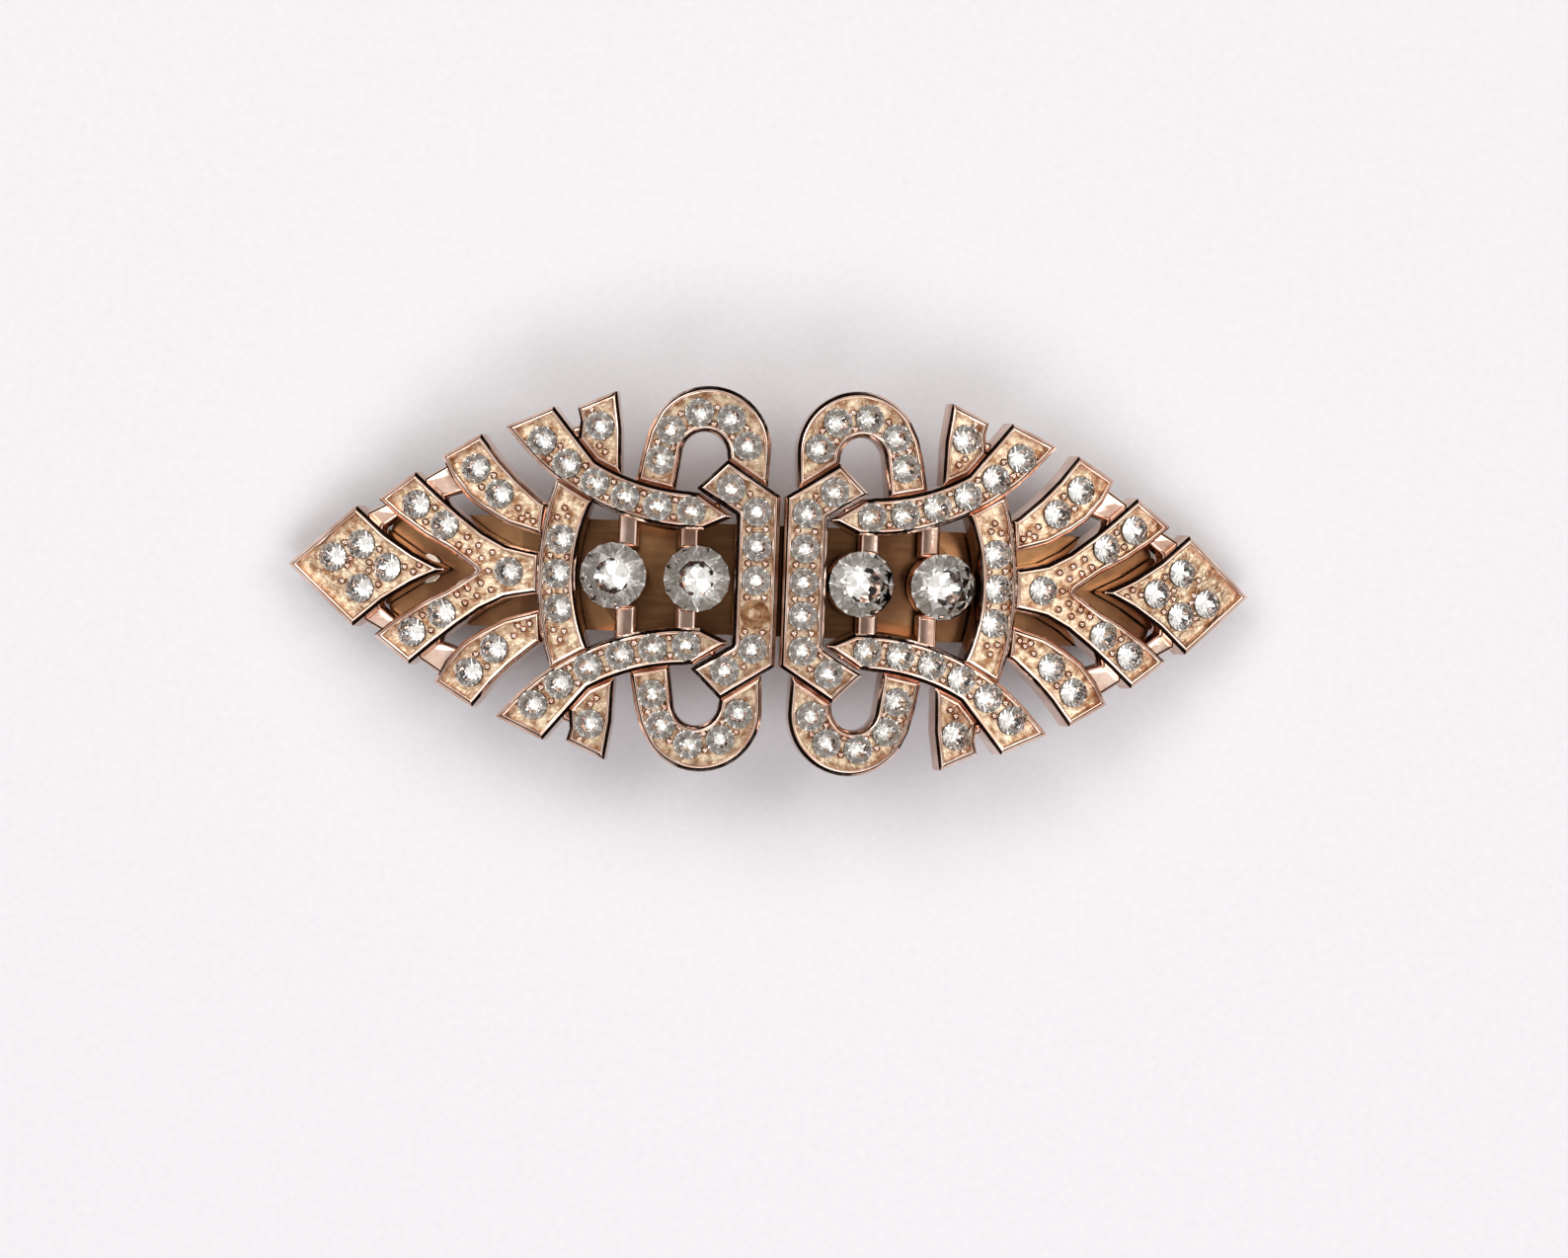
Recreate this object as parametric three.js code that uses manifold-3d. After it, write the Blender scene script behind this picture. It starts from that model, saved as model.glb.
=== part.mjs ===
// Rhinestone hair clip: two channel-set castings soldered to a French barrette spring clasp.
// Millimetres, +Z up, +X along the clip. The clip lies on its clasp with the stones facing up,
// and the origin is on the table under the middle of the clip.
//
// The castings, the stones and the barrette plate are first made flat, in (along, across, height)
// coordinates, and are then bent round one long cylinder, so that they all share the same doming.

import * as THREE from 'three';
import { mergeVertices } from 'three/addons/utils/BufferGeometryUtils.js';
import Module from 'manifold-3d';

const wasm = await Module();
wasm.setup();

// ---------- Driving dimensions ----------

// Doming shared by the castings and the barrette plate
const BEND_RADIUS = 100;
const PLAN_HEIGHT = 2.2;
const UNDERSIDE_Z = 9.6;
const BEND_STEP = 5;

// Castings: walls, floor and the three rim heights above the underside
const HALF_LENGTH = 42.3;
const SEAM_GAP = 0.3;
const RIM_WALL = 0.38;
const POCKET_DEPTH = 1.5;
const LOW_RIM = 2.3;
const MIDDLE_RIM = 2.7;
const HIGH_RIM = 3.0;
const BRIDGE_HEIGHT = 1.3;
const NECK_HEIGHT = 1.1;
const JOIN_DEPTH = 0.06;

// Bracket beside the seam
const BRACKET_SPARE = 0.45;
const BRACKET_HALF_HEIGHT = 7.15;
const BRACKET_ARM_ANGLE = 32.7;
const BRACKET_ARM_LENGTH = 5.4;
const BRACKET_ARM_END = new THREE.Vector2(2.6, -2.55);
const BRACKET_ELBOW_DROP = 1.75;

// Long arc that sweeps out from the bracket
const ARC_CENTRE = new THREE.Vector2(7.2, 24.2);
const ARC_MIDDLE_RADIUS = 18.525;
const ARC_SEAT_SHIFT = 0.05;

// Upright band that bows outward
const BAND_OUTER_AT = 20.35;
const BAND_SPARE = 0.05;
const BAND_OUTER_RADIUS = 23.9;
const BAND_INNER_RADIUS = 15.1;

// Horseshoe loop
const LOOP_CENTRE = new THREE.Vector2(6.3, 10.9);
const LOOP_HOLE_CENTRE = new THREE.Vector2(6.65, 10.4);
const LOOP_HOLE_RADIUS = 1.85;
const LOOP_SPARE = 0.15;

// Small rhinestones and their seats
const STONE_RADIUS = 1.2;
const STONE_CLEARANCE = 0.045;
const STONE_SIDES = 6;
const STONE_TABLE_RADIUS = 0.68;
const STONE_TABLE_RISE = 0.12;
const STONE_GIRDLE_DROP = 0.42;
const STONE_POINT_DROP = 1.45;
const BED_THICKNESS = 0.4;
const BED_GAP = 0.1;

// A channel that one row of stones just fills, and the wider bracket, band and loop
const ROW_HALF_WIDTH = STONE_RADIUS + STONE_CLEARANCE + RIM_WALL;
const BRACKET_WIDTH = 2 * ROW_HALF_WIDTH + BRACKET_SPARE;
const BAND_WIDTH = 2 * ROW_HALF_WIDTH + BAND_SPARE;
const LOOP_RADIUS = LOOP_HOLE_RADIUS + 2 * ROW_HALF_WIDTH + LOOP_SPARE;

// Large rhinestones, their cups and the necks that carry the cups
const LARGE_STONES_AT = [6.95, 13.95];
const LARGE_RADIUS = 2.78;
const LARGE_SIDES = 16;
const LARGE_TABLE_RADIUS = 1.7;
const LARGE_GIRDLE_HEIGHT = 1.6;
const LARGE_CROWN = 1.2;
const LARGE_PAVILION = 1.5;
const CUP_WALL = 0.5;
const CUP_OVERHANG = 0.1;
const CUP_GAP = 0.1;
const CUP_SIDES = 24;
const NECKS_AT = [7.7, 12.9];
const NECK_WIDTH = 1.8;
const NECK_REACH = 5.2;

// Barrette plate, under the castings
const PLATE_HALF_LENGTH = 32.5;
const PLATE_HALF_WIDTH = 4.65;
const PLATE_THICKNESS = 0.8;
const PLATE_CORNER = 2;
const PLATE_DROP = 0.5;
const SEW_HOLE_INSETS = [8.5, 16.5];
const SEW_HOLE_RADIUS = 0.75;

// Solder joints between the castings and the plate
const SOLDER_GAP = 0.1;
const INNER_SOLDER = { from: 0.9, to: 3.2, halfWidth: 3 };
const OUTER_SOLDER_INSET = 8.3;
const OUTER_SOLDER_LENGTH = 3;
const outerSolderEnd = PLATE_HALF_LENGTH - OUTER_SOLDER_INSET;
const OUTER_SOLDER = {
  from: outerSolderEnd - OUTER_SOLDER_LENGTH,
  to: outerSolderEnd,
  halfWidth: 1.1,
};

// Folded parts of the plate: the hinge ears and the end tab that shields the catch
const EAR_THICKNESS = 0.8;
const EAR_LENGTH = 3.4;
const EAR_CHAMFER = 0.7;
const TAB_THICKNESS = 0.9;
const TAB_HALF_WIDTH = 3;
const TAB_INSET = 0.5;
const TAB_INNER_X = TAB_INSET - PLATE_HALF_LENGTH;

// Hinge pin and the arm that turns on it
const PIN_INSET = 2.4;
const PIN_X = PLATE_HALF_LENGTH - PIN_INSET;
const PIN_Z = 1.9;
const PIN_RADIUS = 0.6;
const PIN_SIDES = 16;
const PIN_HEAD_RADIUS = 0.95;
const PIN_HEAD_LENGTH = 0.35;
const RUNNING_CLEARANCE = 0.08;
const SIDE_CLEARANCE = 0.3;
const EYE_RADIUS = 1.3;
const ARM_THICKNESS = 0.8;
const ARM_HALF_WIDTH = 3.3;
const FRAME_HALF_WIDTH = 4.2;
const FRAME_LENGTH = 5.8;
const FRAME_END_CLEARANCE = 0.4;
const WINDOW_HALF_WIDTH = 2.95;
const WINDOW_LENGTH = 3.4;
const WINDOW_WALL = 1;

// Squeeze catch: a base riveted under the plate and two spring legs with barbs
const CATCH_HALF_LENGTH = 1.8;
const CATCH_HALF_WIDTH = 3.1;
const CATCH_THICKNESS = 0.5;
const LEG_THICKNESS = 0.5;
const LEG_INNER_Y = 1.95;
const LEG_LENGTH = 2.2;
const LEG_FOOT_Z = 0.35;
const BARB_HOLD = 0.3;
const BARB_LIP = 0.3;
const BARB_BITE = 0.2;
const BARB_GAP = 0.12;
const RIVET_RADIUS = 0.7;
const RIVET_SIDES = 12;
const RIVET_CLEARANCE = 0.2;
const RIVET_HEAD_RADIUS = 1.3;
const RIVET_HEAD = 0.3;

// Bowed tension bar and the staples that trap its tongues
const BAR_THICKNESS = 0.4;
const BAR_HALF_WIDTH = 2.75;
const BAR_DROP = 0.7;
const BAR_EXTRA_RADIUS = 1;
const BAR_CORNER = 0.8;
const TONGUE_HALF_WIDTH = 1.3;
const STAPLE_INSET = 7;
const STAPLE_AT = PLATE_HALF_LENGTH - STAPLE_INSET;
const TONGUE_OVERRUN = 1.1;
const BODY_SHORT_OF_STAPLE = 2.1;
const BAR_HALF_LENGTH = STAPLE_AT + TONGUE_OVERRUN;
const BAR_BODY_HALF_LENGTH = STAPLE_AT - BODY_SHORT_OF_STAPLE;
const BAR_RADIUS = BEND_RADIUS + BAR_EXTRA_RADIUS;
const STAPLE_LENGTH = 1.5;
const STAPLE_BAR = 0.5;
const STAPLE_CLEARANCE = 0.25;

// ---------- Materials ----------

const roseGold = { color: 0xd9a283, roughness: 0.22, metalness: 1 };
const steel = { color: 0xc9a878, roughness: 0.35, metalness: 1 };
const solder = { color: 0x9a958c, roughness: 0.5, metalness: 1 };
const crystal = { color: 0xe8edf2, roughness: 0.05, metalness: 0.2 };

// ---------- Flat shapes and solids ----------

const point = (along, across) => new THREE.Vector2(along, across);

const degrees = THREE.MathUtils.degToRad;

function mirrored(outline) {
  return outline.map((corner) => point(corner.x, -corner.y)).reverse();
}

// Points on a circle, at equal angles measured from the downward direction towards +X.
function arcPoints(centre, radius, from, to, steps) {
  const points = [];
  for (let i = 0; i <= steps; i++) {
    const angle = degrees(from + ((to - from) * i) / steps);
    points.push(point(centre.x + radius * Math.sin(angle), centre.y - radius * Math.cos(angle)));
  }
  return points;
}

// Moves every side of a closed outline inward by the same distance.
function inset(outline, distance) {
  const ring = THREE.ShapeUtils.isClockWise(outline) ? [...outline].reverse() : outline;
  return ring.map((corner, i) => {
    const arriving = corner.clone().sub(ring.at(i - 1)).normalize();
    const leaving = ring[(i + 1) % ring.length].clone().sub(corner).normalize();
    const normals = point(-arriving.y - leaving.y, arriving.x + leaving.x);
    return corner.clone().addScaledVector(normals, (2 * distance) / normals.lengthSq());
  });
}

function solidOf(geometry) {
  geometry.deleteAttribute('normal');
  geometry.deleteAttribute('uv');
  const merged = mergeVertices(geometry, 1e-5);
  const index = [...merged.index.array];
  const corners = [];
  for (let i = 0; i < index.length; i += 3) {
    const face = index.slice(i, i + 3);
    if (new Set(face).size === 3) {
      corners.push(...face);
    }
  }
  return new wasm.Manifold(
    new wasm.Mesh({
      numProp: 3,
      vertProperties: Float32Array.from(merged.attributes.position.array),
      triVerts: Uint32Array.from(corners),
    }),
  );
}

function prism(outline, low, high, holes = []) {
  const shape = new THREE.Shape(outline);
  shape.holes = holes.map((hole) => new THREE.Path(hole));
  const geometry = new THREE.ExtrudeGeometry(shape, { depth: high - low, bevelEnabled: false });
  geometry.translate(0, 0, low);
  return solidOf(geometry);
}

function rectangle(lowX, highX, lowY, highY) {
  return [point(lowX, lowY), point(highX, lowY), point(highX, highY), point(lowX, highY)];
}

function ring(centre, radius, sides) {
  return arcPoints(centre, radius, 0, 360 - 360 / sides, sides - 1);
}

// A prism whose outline lies in the X-Z plane and which runs along Y.
function sidePrism(outline, lowY, highY) {
  const geometry = new THREE.ExtrudeGeometry(new THREE.Shape(outline), {
    depth: highY - lowY,
    bevelEnabled: false,
  });
  geometry.rotateX(Math.PI / 2);
  geometry.translate(0, highY, 0);
  return solidOf(geometry);
}

// A pin along Y, turned from a half profile of (radius, y) pairs.
function turnedAlongY(profile, sides) {
  return solidOf(new THREE.LatheGeometry(profile, sides));
}

function joined(solids) {
  return solids.reduce((whole, solid) => whole.add(solid));
}

// ---------- Bending ----------

// Splits one face at the middles of its long edges; a middle is -1 where the edge stays whole.
function splitFace(corners, middles) {
  const count = middles.filter((middle) => middle >= 0).length;
  if (count === 0) {
    return [corners];
  }
  let [a, b, c] = corners;
  let [ab, bc, ca] = middles;
  const turned = () => (count === 1 ? ab >= 0 : count === 3 || ca < 0);
  while (!turned()) {
    [a, b, c] = [b, c, a];
    [ab, bc, ca] = [bc, ca, ab];
  }
  if (count === 1) {
    return [[a, ab, c], [ab, b, c]];
  }
  if (count === 2) {
    return [[ab, b, bc], [a, ab, bc], [a, bc, c]];
  }
  return [[a, ab, ca], [ab, b, bc], [ca, bc, c], [ab, bc, ca]];
}

// Splits every edge that runs further than a step along the clip, so that a flat face can bend.
function subdivided(points, faces) {
  const middles = new Map();
  const middleOf = (a, b) => {
    if (Math.abs(points[a][0] - points[b][0]) <= BEND_STEP) {
      return -1;
    }
    const key = `${Math.min(a, b)} ${Math.max(a, b)}`;
    if (!middles.has(key)) {
      middles.set(key, points.length);
      points.push(points[a].map((value, axis) => (value + points[b][axis]) / 2));
    }
    return middles.get(key);
  };
  const split = faces.flatMap(([a, b, c]) =>
    splitFace([a, b, c], [middleOf(a, b), middleOf(b, c), middleOf(c, a)]),
  );
  return middles.size === 0 ? split : subdivided(points, split);
}

function meshParts(solid) {
  const { vertProperties, triVerts, numProp } = solid.getMesh();
  const points = [];
  for (let i = 0; i < vertProperties.length; i += numProp) {
    points.push([...vertProperties.slice(i, i + 3)]);
  }
  const faces = [];
  for (let i = 0; i < triVerts.length; i += 3) {
    faces.push([...triVerts.slice(i, i + 3)]);
  }
  return { points, faces };
}

function geometryOf(points, faces) {
  const geometry = new THREE.BufferGeometry();
  geometry.setAttribute('position', new THREE.Float32BufferAttribute(points.flat(), 3));
  geometry.setIndex(faces.flat());
  geometry.computeVertexNormals();
  return geometry;
}

// Where a flat point lies once the sheet is bent round the doming cylinder. Lengths along the clip
// stay true at the plan height, near the tops of the rims.
function bentPoint([along, across, height]) {
  const angle = along / (BEND_RADIUS + PLAN_HEIGHT);
  const radius = BEND_RADIUS + height;
  return [radius * Math.sin(angle), across, radius * Math.cos(angle) - BEND_RADIUS + UNDERSIDE_Z];
}

function bentGeometry(solid) {
  const { points, faces } = meshParts(solid);
  const split = subdivided(points, faces);
  return geometryOf(points.map(bentPoint), split);
}

function straightGeometry(solid) {
  const { points, faces } = meshParts(solid);
  return geometryOf(points, faces);
}

// ---------- Ornament: outlines of the channels ----------

// Bracket: a bar along the seam whose ends turn outward.
function bracketOutline() {
  const seam = SEAM_GAP / 2;
  const inner = seam + BRACKET_WIDTH;
  const slope = degrees(BRACKET_ARM_ANGLE);
  const shoulder = point(seam, BRACKET_HALF_HEIGHT);
  const arm = point(Math.cos(slope), Math.sin(slope)).multiplyScalar(BRACKET_ARM_LENGTH);
  const top = shoulder.clone().add(arm);
  const heel = top.clone().add(BRACKET_ARM_END);
  const elbow = point(inner, BRACKET_HALF_HEIGHT - BRACKET_ELBOW_DROP);
  const upper = [elbow, heel, top, shoulder];
  return [...upper, ...mirrored(upper)];
}

// Arc: a long curved channel, wider at its outer end and pointed at the bracket.
function arcOutline() {
  const cornerInner = point(19.35, 14);
  const cornerOuter = point(23.5, 12.15);
  const outerEdge = arcPoints(ARC_CENTRE, ARC_MIDDLE_RADIUS + ROW_HALF_WIDTH, -2, 47, 11);
  const innerEdge = arcPoints(ARC_CENTRE, ARC_MIDDLE_RADIUS - ROW_HALF_WIDTH, 30, 2, 7);
  const tip = point(3.95, 5.25);
  return [tip, ...outerEdge, cornerOuter, cornerInner, ...innerEdge, point(6.9, 7.15)];
}

// Band: an upright channel that bows outward between the two arcs.
function bandOutline() {
  const outer = point(BAND_OUTER_AT - BAND_OUTER_RADIUS, 0);
  const inner = point(BAND_OUTER_AT - BAND_WIDTH - BAND_INNER_RADIUS, 0);
  return [
    ...arcPoints(outer, BAND_OUTER_RADIUS, 70.2, 109.8, 8),
    ...arcPoints(inner, BAND_INNER_RADIUS, 114.5, 65.5, 6),
  ];
}

// Loop: a horseshoe whose two legs end against the bracket and the arc.
function loopOutline() {
  const outside = arcPoints(LOOP_CENTRE, LOOP_RADIUS, 270, 125, 11);
  const inside = arcPoints(LOOP_HOLE_CENTRE, LOOP_HOLE_RADIUS, 90, 270, 8);
  return [point(1.2, 7.65), ...outside, point(11.4, 12.3), point(11.9, 10.4), point(12.35, 7.9),
    point(8.95, 7.2), ...inside, point(4.72, 9.9)];
}

// Tip: a small wedge behind the arc.
function tipOutline() {
  return [point(13.5, 8.35), point(15.75, 9.4), point(17.35, 11.25), point(17.2, 12.9),
    point(17.5, 14), point(14.1, 15.5), point(13.6, 12.2)];
}

// Blade: a short curved channel between the arc and the chevron.
function bladeOutline() {
  return [point(19.9, 3), point(23, 3.85), point(25, 4.9), point(26.5, 5.95), point(27.9, 7.5),
    point(28.95, 9.5), point(25.5, 11.5), point(23.7, 9.3), point(22.2, 7.8), point(20.3, 6.2),
    point(19.7, 5.8)];
}

// Chevron: two arms that meet in a point and open towards the band.
function chevronOutline() {
  const upper = [point(28, 1.6), point(30, 2.6), point(32.5, 4.2), point(34.4, 5.75),
    point(31.1, 8.15), point(29, 6.35), point(27, 4.75), point(25, 3.3), point(23, 2.3),
    point(20.1, 1.75)];
  return [point(25.6, 0), ...upper, ...mirrored(upper)];
}

// Diamond: the kite-shaped end of the clip.
function diamondOutline() {
  const upper = [point(36.2, 5.15), point(33.5, 2.9), point(31, 1.35)];
  return [point(HALF_LENGTH, 0), ...upper, point(28.1, 0), ...mirrored(upper)];
}

// ---------- Ornament: seats ----------

function arcSeats() {
  return arcPoints(ARC_CENTRE, ARC_MIDDLE_RADIUS + ARC_SEAT_SHIFT, 1.3, 44.9, 5);
}

function bracketSeats() {
  const bar = SEAM_GAP / 2 + BRACKET_WIDTH / 2;
  const upper = [point(bar + 0.1, 5.74), point(4.35, 7.6)];
  return [point(bar, 0), point(bar, 2.82), point(bar, -2.82), ...upper, ...mirrored(upper)];
}

function bandSeats() {
  const middle = BAND_OUTER_AT - BAND_WIDTH / 2;
  return [point(middle - 0.02, 0), point(middle - 0.25, 2.91), point(middle - 0.25, -2.91)];
}

const loopSeats = [point(10.35, 9.8), point(9.55, 12.3), point(7.2, 13.85), point(4.5, 13.4),
  point(3.05, 11.2)];
const bladeSeats = [point(25.95, 8.55), point(23.88, 6.48)];
const tipSeats = [point(15.55, 12.45)];
const chevronSeats = [point(22.85, 0), point(28.5, 3.72), point(31.05, 5.35), point(28.5, -3.72),
  point(31.05, -5.35)];
const diamondSeats = [point(33.4, 0), point(35.79, 1.85), point(35.79, -1.85), point(38.3, -0.7)];

// Seat of the left bracket that has lost its stone
const EMPTY_SEAT = 1;

// Channels in casting order: a later one stands over the ends of those before it.
function channelList() {
  const low = [
    { name: 'diamond', outline: diamondOutline(), rim: LOW_RIM, seats: diamondSeats },
    { name: 'chevron', outline: chevronOutline(), rim: LOW_RIM, seats: chevronSeats },
  ];
  const paired = [
    { name: 'blade', outline: bladeOutline(), rim: LOW_RIM, seats: bladeSeats },
    { name: 'loop', outline: loopOutline(), rim: LOW_RIM, seats: loopSeats },
    { name: 'tip', outline: tipOutline(), rim: LOW_RIM, seats: tipSeats },
  ];
  const arc = { name: 'arc', outline: arcOutline(), rim: MIDDLE_RIM, seats: arcSeats() };
  const both = (channel) => [
    { ...channel, name: `${channel.name}_top` },
    {
      ...channel,
      name: `${channel.name}_bottom`,
      outline: mirrored(channel.outline),
      seats: mirrored(channel.seats),
    },
  ];
  return [
    ...low,
    ...paired.flatMap(both),
    { name: 'band', outline: bandOutline(), rim: MIDDLE_RIM, seats: bandSeats() },
    ...both(arc),
    { name: 'bracket', outline: bracketOutline(), rim: HIGH_RIM, seats: bracketSeats() },
  ];
}

// ---------- Ornament: the casting ----------

function channelSolid({ outline, rim }) {
  const pocket = prism(inset(outline, RIM_WALL), rim - POCKET_DEPTH, rim + 1);
  return prism(outline, 0, rim).subtract(pocket);
}

// Low bars that tie the outer ends of neighbouring channels together.
function bridges() {
  const outlines = [
    [point(26.9, 6.6), point(28.4, 8.95), point(30.9, 7.45), point(29, 5.9)],
    [point(32.3, 4.5), point(33.6, 5.6), point(35.8, 4.5), point(34.3, 3.1)],
    [point(16.4, 10.9), point(17.2, 12.5), point(18.7, 12.1), point(18, 10.9)],
  ];
  const all = [...outlines, ...outlines.map(mirrored)];
  return all.map((outline) => prism(outline, 0, BRIDGE_HEIGHT));
}

// Short tubes that the large stones stand on, a little narrower than the stones, and their necks.
function cupAndNecks() {
  const cupRadius = LARGE_RADIUS - CUP_OVERHANG;
  const cupBore = cupRadius - CUP_WALL;
  const stoneDrop = LARGE_PAVILION * (1 - cupBore / LARGE_RADIUS);
  const cupHeight = LARGE_GIRDLE_HEIGHT - stoneDrop - CUP_GAP;
  const cups = LARGE_STONES_AT.map((at) =>
    prism(ring(point(at, 0), cupRadius, CUP_SIDES), 0, cupHeight),
  );
  const necks = NECKS_AT.map((at) => {
    const low = at - NECK_WIDTH / 2;
    return prism(rectangle(low, low + NECK_WIDTH, -NECK_REACH, NECK_REACH), 0, NECK_HEIGHT);
  });
  const bores = LARGE_STONES_AT.map((at) =>
    prism(ring(point(at, 0), cupBore, CUP_SIDES), -1, HIGH_RIM + 1),
  );
  return joined([...cups, ...necks]).subtract(joined(bores));
}

function castingSolid(channels) {
  let casting = joined([cupAndNecks(), ...bridges()]);
  for (const channel of channels) {
    const room = prism(inset(channel.outline, JOIN_DEPTH), -1, HIGH_RIM + 1);
    casting = casting.subtract(room).add(channelSolid(channel));
  }
  return casting;
}

// ---------- Rhinestones ----------

// A foil-backed stone: a flat table, a girdle and a point below, turned with flat sides.
function stoneSolid(centre, girdle, { radius, table, crown, pavilion, sides }) {
  const profile = [point(0, girdle - pavilion), point(radius, girdle), point(table, girdle + crown),
    point(0, girdle + crown)];
  const geometry = new THREE.LatheGeometry(profile, sides);
  geometry.rotateX(Math.PI / 2);
  geometry.translate(centre.x, centre.y, 0);
  return solidOf(geometry);
}

// All the stones of one channel on their bed of cement.
function stoneRow({ outline, rim, seats }) {
  const bedTop = rim - POCKET_DEPTH + BED_GAP + BED_THICKNESS;
  const bed = prism(inset(outline, RIM_WALL + BED_GAP), bedTop - BED_THICKNESS, bedTop);
  const small = {
    radius: STONE_RADIUS,
    table: STONE_TABLE_RADIUS,
    crown: STONE_GIRDLE_DROP + STONE_TABLE_RISE,
    pavilion: STONE_POINT_DROP - STONE_GIRDLE_DROP,
    sides: STONE_SIDES,
  };
  const stones = seats.map((seat) => stoneSolid(seat, rim - STONE_GIRDLE_DROP, small));
  return joined([bed, ...stones]);
}

function largeStone(at) {
  return stoneSolid(point(at, 0), LARGE_GIRDLE_HEIGHT, {
    radius: LARGE_RADIUS,
    table: LARGE_TABLE_RADIUS,
    crown: LARGE_CROWN,
    pavilion: LARGE_PAVILION,
    sides: LARGE_SIDES,
  });
}

// ---------- Barrette ----------

const plateTop = -PLATE_DROP;
const plateUnder = plateTop - PLATE_THICKNESS;
const barTopMiddleZ = UNDERSIDE_Z + plateUnder - BAR_DROP;
const frameEnd = TAB_INNER_X + FRAME_END_CLEARANCE;
const windowEnd = frameEnd + WINDOW_WALL;

// The catch sits over the middle of the arm's window.
const catchX = windowEnd + WINDOW_LENGTH / 2;
const catchAt = Math.asin(catchX / (BEND_RADIUS + plateUnder)) * (BEND_RADIUS + PLAN_HEIGHT);

function roundedRectangle(halfLength, halfWidth, corner) {
  const centres = [[1, -1, 0], [1, 1, 90], [-1, 1, 180], [-1, -1, 270]];
  return centres.flatMap(([x, y, from]) => {
    const centre = point(x * (halfLength - corner), y * (halfWidth - corner));
    return arcPoints(centre, corner, from, from + 90, 3);
  });
}

// Height of the plate's underside above the table, at a distance along the clip.
function plateUnderZ(x) {
  return Math.sqrt((BEND_RADIUS + plateUnder) ** 2 - x ** 2) - BEND_RADIUS + UNDERSIDE_Z;
}

function barTopZ(x) {
  return barTopMiddleZ - BAR_RADIUS + Math.sqrt(BAR_RADIUS ** 2 - x ** 2);
}

// A staple stamped down from the plate, which a tongue of the tension bar slides in.
function staple(at) {
  const low = at - STAPLE_LENGTH / 2;
  const high = at + STAPLE_LENGTH / 2;
  const ledge = barTopZ(Math.abs(at) + STAPLE_LENGTH / 2) - BAR_THICKNESS - STAPLE_CLEARANCE;
  const inside = TONGUE_HALF_WIDTH + STAPLE_CLEARANCE;
  const outside = inside + STAPLE_BAR;
  const bite = PLATE_THICKNESS / 2;
  const profile = [point(low, ledge - STAPLE_BAR), point(high, ledge - STAPLE_BAR),
    point(high, plateUnderZ(high) + bite), point(low, plateUnderZ(low) + bite)];
  const opening = rectangle(low - 1, high + 1, ledge, UNDERSIDE_Z);
  return sidePrism(profile, -outside, outside).subtract(sidePrism(opening, -inside, inside));
}

function earSolid(side) {
  const low = PIN_X - EAR_LENGTH / 2;
  const high = PIN_X + EAR_LENGTH / 2;
  const bite = PLATE_THICKNESS / 2;
  const profile = [point(low + EAR_CHAMFER, 0), point(high - EAR_CHAMFER, 0),
    point(high, EAR_CHAMFER), point(high, plateUnderZ(high) + bite), point(low, plateUnderZ(low) + bite),
    point(low, EAR_CHAMFER)];
  const hole = ring(point(PIN_X, PIN_Z), PIN_RADIUS + RUNNING_CLEARANCE, PIN_SIDES);
  const outer = side * PLATE_HALF_WIDTH;
  const inner = side * (PLATE_HALF_WIDTH - EAR_THICKNESS);
  const [near, far] = [Math.min(inner, outer), Math.max(inner, outer)];
  return sidePrism(profile, near, far).subtract(sidePrism(hole, near - 1, far + 1));
}

// The domed strip, with its sewing holes and the catch rivet's hole.
function plateStrip() {
  const steps = 16;
  const end = Math.asin((PLATE_HALF_LENGTH + 1) / (BEND_RADIUS + plateUnder));
  const angles = Array.from({ length: steps + 1 }, (_, i) => end * ((2 * i) / steps - 1));
  const profileAt = (height) => angles.map((angle) => {
    const [x, , z] = bentPoint([angle * (BEND_RADIUS + PLAN_HEIGHT), 0, height]);
    return point(x, z);
  });
  const profile = [...profileAt(plateUnder), ...profileAt(plateTop).reverse()];
  const outline = roundedRectangle(PLATE_HALF_LENGTH, PLATE_HALF_WIDTH, PLATE_CORNER);
  const sewing = SEW_HOLE_INSETS.map((inward) => PLATE_HALF_LENGTH - inward);
  const holes = sewing.flatMap((at) => [at, -at])
    .map((at) => ring(point(at, 0), SEW_HOLE_RADIUS, 8));
  const rivetHole = ring(point(catchX, 0), RIVET_RADIUS + RIVET_CLEARANCE, RIVET_SIDES);
  const plan = prism(outline, 0, UNDERSIDE_Z, [...holes, rivetHole]);
  return sidePrism(profile, -PLATE_HALF_WIDTH, PLATE_HALF_WIDTH).intersect(plan);
}

function basePlate() {
  const tabTop = plateUnderZ(TAB_INNER_X) + PLATE_THICKNESS / 2;
  const tabOutline = rectangle(TAB_INNER_X - TAB_THICKNESS, TAB_INNER_X, 0, tabTop);
  const tab = sidePrism(tabOutline, -TAB_HALF_WIDTH, TAB_HALF_WIDTH);
  const folded = [tab, earSolid(1), earSolid(-1), staple(STAPLE_AT), staple(-STAPLE_AT)];
  return joined([plateStrip(), ...folded]);
}

// Solder pad between a casting and the plate, flat.
function solderPad({ from, to, halfWidth }) {
  return prism(rectangle(from, to, -halfWidth, halfWidth), plateTop + SOLDER_GAP, -SOLDER_GAP);
}

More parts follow.
